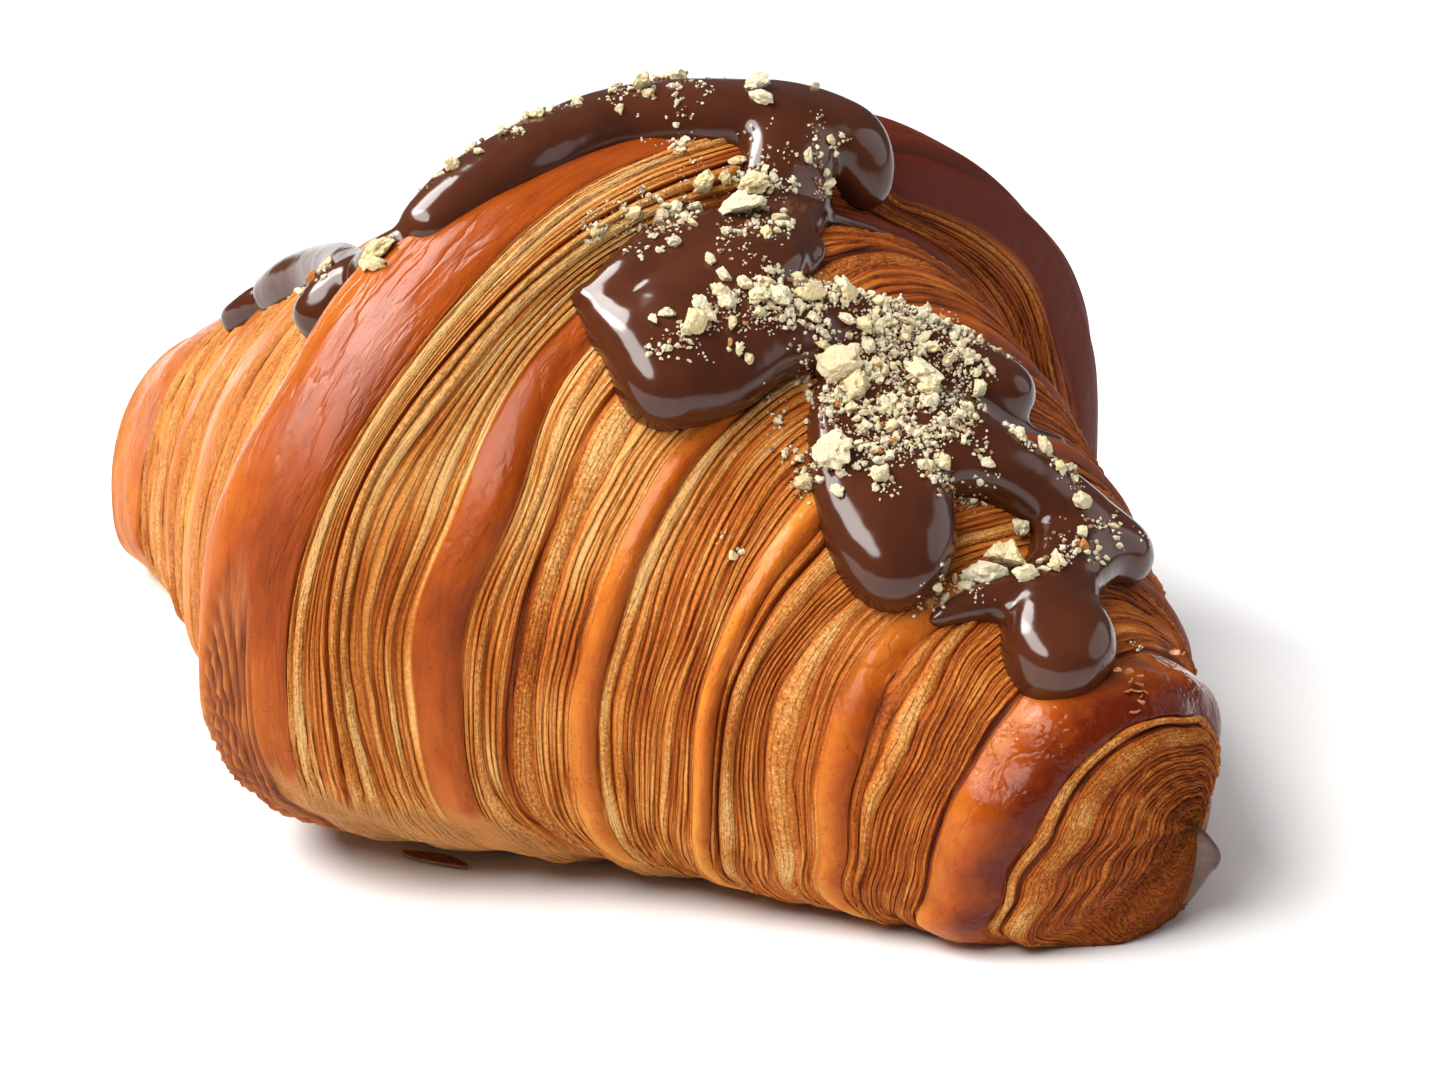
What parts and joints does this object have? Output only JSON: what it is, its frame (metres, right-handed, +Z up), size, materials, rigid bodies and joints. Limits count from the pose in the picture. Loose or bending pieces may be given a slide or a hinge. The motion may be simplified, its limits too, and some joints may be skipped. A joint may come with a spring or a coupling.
{
  "type": "chocolate hazelnut croissant",
  "caption": "Plump baked croissant of rolled laminated dough, with milk chocolate poured zigzag over its crest and chopped hazelnut strewn on the chocolate.",
  "frame": {"origin": "on the floor, under the centre of the whole object's bounding box", "axes": "+X along the roll towards the tip with the dough tongue, +Y towards the back, +Z up; the picture looks at it from -Y and +X"},
  "size_m": [0.158, 0.1202, 0.0766],
  "materials": {
    "baked_dough": "baked and glazed, satin on the smooth skin and dull on the layers",
    "milk_chocolate": "glossy milk chocolate with pale chopped hazelnut"
  },
  "bodies": {
    "root": {"pastry": "baked_dough", "chocolate": "milk_chocolate"}
  },
  "joints": []
}
